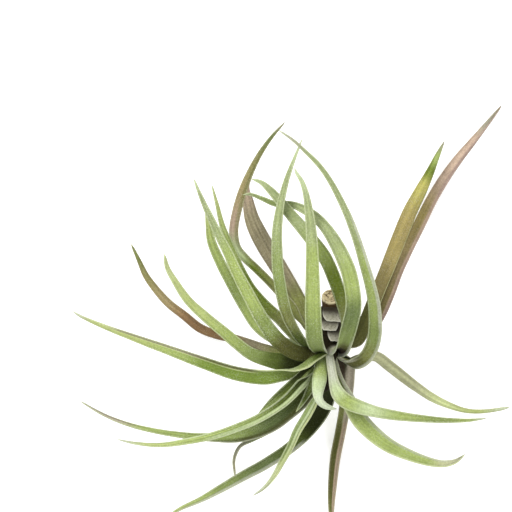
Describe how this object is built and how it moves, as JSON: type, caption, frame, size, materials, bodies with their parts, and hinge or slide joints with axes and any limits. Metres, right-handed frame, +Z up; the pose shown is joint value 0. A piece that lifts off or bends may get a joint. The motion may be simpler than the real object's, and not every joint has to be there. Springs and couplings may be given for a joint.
{
  "type": "air plant",
  "caption": "Air plant lying on its side: channelled, tapering leaves, some recurved, round a short scaly stem with a cut root stub.",
  "frame": {"origin": "middle of the footprint on the surface the plant lies on", "axes": "+Z up from that surface; the plant axis runs along -Y, with the cut root stub towards +Y and the crown towards -Y"},
  "size_m": [0.2203, 0.2159, 0.0965],
  "materials": {
    "leaf_green": "matte, finely scaled leaf skin",
    "leaf_grey_green": "matte, finely scaled leaf skin",
    "leaf_dark_green": "matte, finely scaled leaf skin",
    "leaf_bloom": "matte, finely scaled leaf skin",
    "leaf_brown": "matte, finely scaled leaf skin",
    "leaf_tan": "matte, finely scaled leaf skin",
    "leaf_yellow_olive": "matte, finely scaled leaf skin",
    "leaf_mauve": "matte, finely scaled leaf skin",
    "sheath_scurf": "dry, scurfy, matte",
    "stem_bark": "dull, fibrous",
    "stub_wood": "cut, pitted, matte"
  },
  "bodies": {
    "root": {"leaf_long_left_lower": "leaf_green", "leaf_right_upper": "leaf_green", "leaf_right_lower": "leaf_green", "leaf_long_left_top": "leaf_green", "leaf_left_bowed": "leaf_green", "leaf_top_left": "leaf_green", "leaf_top_middle": "leaf_green", "leaf_top_right": "leaf_green", "leaf_right_hoop": "leaf_green", "leaf_left_far": "leaf_green", "leaf_crown_short": "leaf_grey_green", "leaf_top_second": "leaf_grey_green", "leaf_crown_thin": "leaf_dark_green", "leaf_low_left": "leaf_dark_green", "leaf_shaded_left": "leaf_dark_green", "leaf_top_inner": "leaf_dark_green", "leaf_left_inner": "leaf_dark_green", "leaf_crown_tongue": "leaf_bloom", "leaf_crown_left": "leaf_bloom", "leaf_long_left_upper": "leaf_bloom", "leaf_brown_left": "leaf_brown", "leaf_brown_wide": "leaf_brown", "leaf_down": "leaf_tan", "leaf_olive_turned": "leaf_tan", "leaf_right_low": "leaf_yellow_olive", "leaf_olive_right": "leaf_yellow_olive", "leaf_mauve_right": "leaf_mauve", "sheath_low": "sheath_scurf", "sheath_middle": "sheath_scurf", "sheath_high": "sheath_scurf", "sheath_back": "sheath_scurf", "stem_core": "stem_bark", "root_stub": "stub_wood"}
  },
  "joints": []
}
